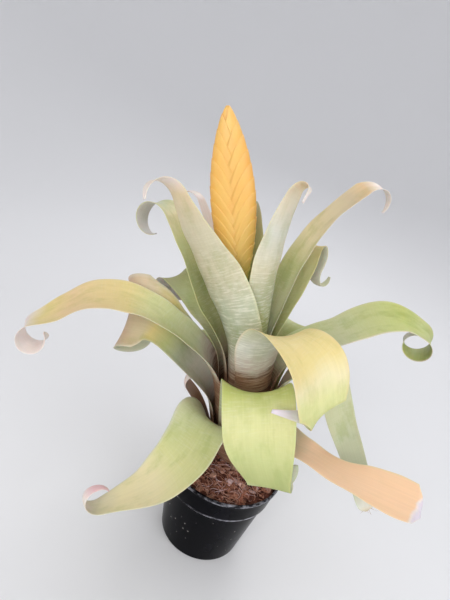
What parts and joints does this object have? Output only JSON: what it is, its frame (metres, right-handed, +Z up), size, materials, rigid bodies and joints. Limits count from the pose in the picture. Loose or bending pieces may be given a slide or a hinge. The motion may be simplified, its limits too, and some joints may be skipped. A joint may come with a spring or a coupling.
{
  "type": "potted goudaea ospinae",
  "caption": "Bromeliad in flower: a loose rosette of strap leaves with curled tips and one flat yellow spike, growing in bark in a small round nursery pot.",
  "frame": {"origin": "centre of the pot's flat underside", "axes": "+Z up out of the pot, -Y towards the side that the picture shows as the front, +X to the right seen from that side"},
  "size_m": [0.3137, 0.2219, 0.3559],
  "materials": {
    "pot": "semi-gloss black, thin moulded plastic",
    "bark": "loose dry bark chips and fibre, matt",
    "leaf": "smooth, soft satin, pale green with cream, peach and grey parts",
    "stem": "matt, fibrous",
    "spike": "smooth satin, orange yellow"
  },
  "bodies": {
    "root": {"pot": "pot", "bark": "bark", "leaf_behind_spike": "leaf", "leaf_inner_left": "leaf", "leaf_upright_right": "leaf", "leaf_upper_right": "leaf", "leaf_upright_left": "leaf", "leaf_folded_back": "leaf", "leaf_left_hook": "leaf", "leaf_back": "leaf", "leaf_front_arch": "leaf", "leaf_left_back": "leaf", "leaf_right_curled": "leaf", "leaf_left_long": "leaf", "leaf_back_right": "leaf", "leaf_right_hanging": "leaf", "leaf_left_rolled": "leaf", "leaf_back_left": "leaf", "leaf_front": "leaf", "leaf_front_right": "leaf", "leaf_front_left": "leaf", "leaf_dried": "leaf", "leaf_back_low": "leaf", "stem": "stem", "spike": "spike"}
  },
  "joints": []
}
